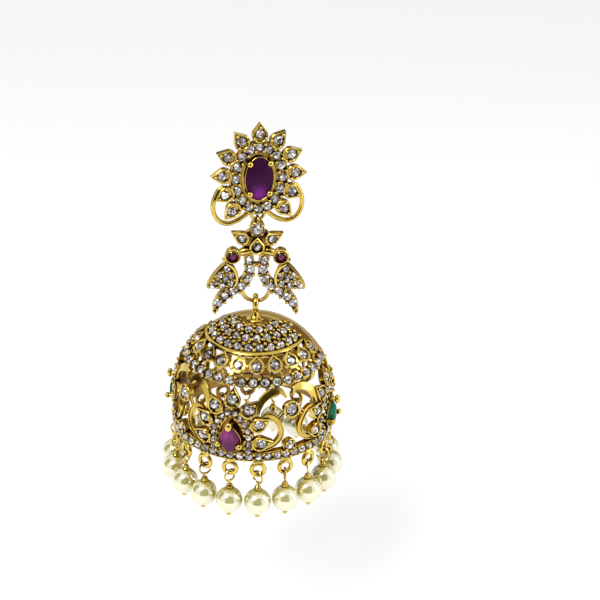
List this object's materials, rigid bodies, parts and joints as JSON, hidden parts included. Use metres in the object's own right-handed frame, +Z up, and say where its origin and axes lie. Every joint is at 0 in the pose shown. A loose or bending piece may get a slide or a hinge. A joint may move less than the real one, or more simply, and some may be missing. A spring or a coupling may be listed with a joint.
{
  "type": "jhumka earring",
  "caption": "Gold-toned jhumka drop earring: an oval stud with an ear post, a plate of two birds, and a pierced bell with pearl drops round its rim.",
  "frame": {"origin": "where the ear post leaves the back of the stud plate", "axes": "+Z up, the face looks along -Y, the ear post points along +Y"},
  "size_m": [0.0288, 0.0286, 0.0588],
  "materials": {
    "gold": "polished gold plating over cast brass, browned in the recesses",
    "clear_stone": "faceted, clear to pale grey",
    "ruby": "faceted, purple red",
    "emerald": "faceted, deep green",
    "pearl": "lustrous cream"
  },
  "bodies": {
    "stud": {"stud_frame": "gold", "stud_halo_stones": "clear_stone", "stud_oval_stone": "ruby", "stud_petal_stones": "clear_stone"},
    "birds": {"bird_body_stones": "clear_stone", "bird_eye_left": "ruby", "bird_eye_right": "ruby", "bird_frame": "gold", "bird_wing_stones": "clear_stone"},
    "bell": {"bell_belt_stones": "clear_stone", "bell_cap_stones": "clear_stone", "bell_emerald_left": "emerald", "bell_emerald_right": "emerald", "bell_halo_stones": "clear_stone", "bell_petal_stones": "clear_stone", "bell_row_stones": "clear_stone", "bell_ruby_back": "ruby", "bell_ruby_front": "ruby", "bell_shell": "gold", "head_pin_01": "gold", "head_pin_02": "gold", "head_pin_03": "gold", "head_pin_04": "gold", "head_pin_05": "gold", "head_pin_06": "gold", "head_pin_07": "gold", "head_pin_08": "gold", "head_pin_09": "gold", "head_pin_10": "gold", "head_pin_11": "gold", "head_pin_12": "gold", "head_pin_13": "gold", "head_pin_14": "gold", "head_pin_15": "gold", "head_pin_16": "gold", "head_pin_17": "gold", "head_pin_18": "gold", "pearl_01": "pearl", "pearl_02": "pearl", "pearl_03": "pearl", "pearl_04": "pearl", "pearl_05": "pearl", "pearl_06": "pearl", "pearl_07": "pearl", "pearl_08": "pearl", "pearl_09": "pearl", "pearl_10": "pearl", "pearl_11": "pearl", "pearl_12": "pearl", "pearl_13": "pearl", "pearl_14": "pearl", "pearl_15": "pearl", "pearl_16": "pearl", "pearl_17": "pearl", "pearl_18": "pearl"}
  },
  "joints": [
    {"name": "birds_swing", "type": "hinge", "parent": "stud", "child": "birds", "pos_m": [0, -0.0006, -0.0066], "axis": [1, 0, 0], "range_deg": [-60, 60]},
    {"name": "bell_swing", "type": "hinge", "parent": "birds", "child": "bell", "pos_m": [0, -0.0006, -0.01995], "axis": [0.9848, -0.1736, 0], "range_deg": [-60, 60]}
  ]
}
